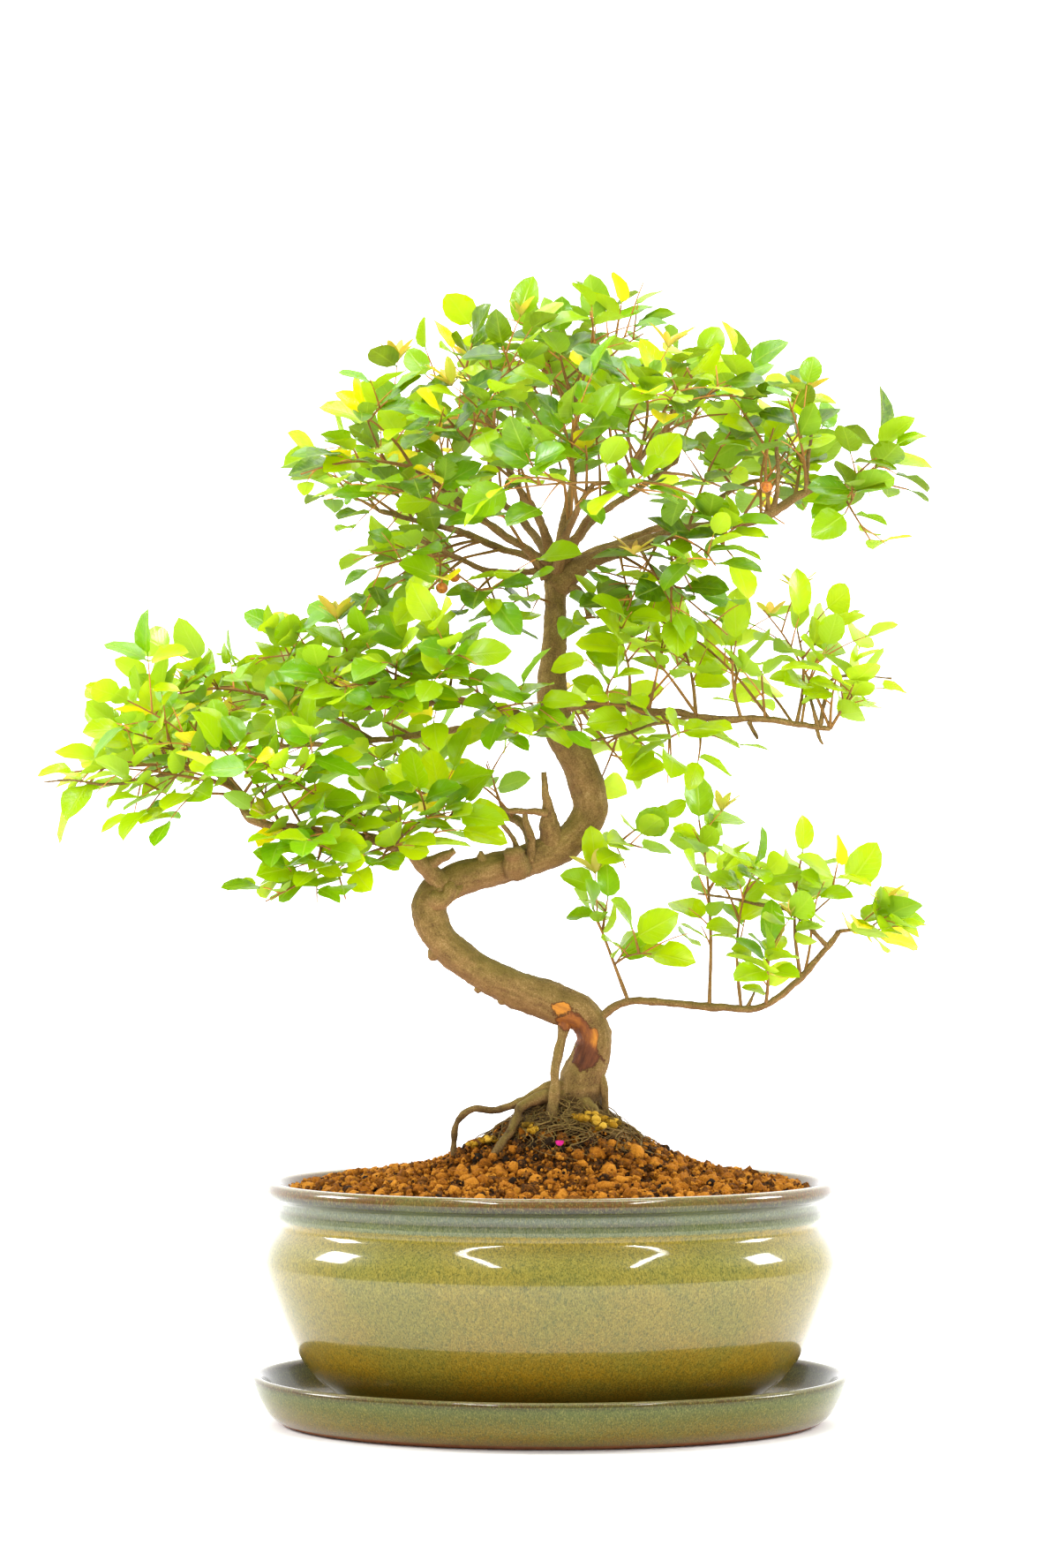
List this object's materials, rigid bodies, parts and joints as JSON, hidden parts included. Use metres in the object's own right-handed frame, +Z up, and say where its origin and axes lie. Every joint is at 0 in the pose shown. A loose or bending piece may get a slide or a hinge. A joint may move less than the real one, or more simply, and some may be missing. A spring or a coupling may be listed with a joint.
{
  "type": "bonsai tree in a glazed pot",
  "caption": "Small bonsai tree with an S-shaped trunk, surface roots and airy foliage layers, planted in a mound of granular soil in a glazed oval pot on an oval drip tray.",
  "frame": {"origin": "centre of the drip tray's flat underside", "axes": "+Z up the tree, +X along the long side of the oval pot, +Y from the viewer towards the back"},
  "size_m": [0.3925, 0.2177, 0.5047],
  "materials": {
    "glaze": "glossy olive-gold glaze",
    "soil": "rough baked clay granules",
    "bark": "matt bark",
    "leaves": "thin, slightly glossy leaves",
    "fruit": "satin fruit skin"
  },
  "bodies": {
    "root": {"drip_tray": "glaze", "pot": "glaze", "soil": "soil", "tree_wood": "bark", "crown_far_left": "leaves", "crown_left_front": "leaves", "crown_left_end": "leaves", "crown_left_low": "leaves", "crown_left_back_high": "leaves", "crown_under_left": "leaves", "crown_top_left": "leaves", "crown_front_left": "leaves", "crown_top": "leaves", "crown_top_back": "leaves", "crown_right_high": "leaves", "crown_front_right": "leaves", "crown_back_right": "leaves", "crown_back_top": "leaves", "crown_back_left": "leaves", "crown_back_mid": "leaves", "crown_front_low": "leaves", "crown_front_mid": "leaves", "crown_right_front": "leaves", "crown_right_up": "leaves", "crown_right_twig": "leaves", "crown_right_tip": "leaves", "crown_right_back": "leaves", "crown_under_right": "leaves", "left_far_tip": "leaves", "left_end": "leaves", "left_front": "leaves", "left_big_leaves": "leaves", "left_low_mid": "leaves", "left_mid_top": "leaves", "left_top": "leaves", "left_top_front": "leaves", "left_inner_front": "leaves", "left_back": "leaves", "left_back_end": "leaves", "left_back_mid": "leaves", "mid_front": "leaves", "mid_twig_up": "leaves", "mid_high": "leaves", "mid_end_high": "leaves", "mid_tip": "leaves", "mid_low": "leaves", "mid_inner_low": "leaves", "low_twig_up": "leaves", "low_mid": "leaves", "low_top": "leaves", "low_end": "leaves", "low_inner": "leaves", "low_front": "leaves", "trunk_leaf": "leaves", "trunk_high": "leaves", "fruit_lower": "fruit", "fruit_upper": "fruit", "fruit_right": "fruit"}
  },
  "joints": []
}
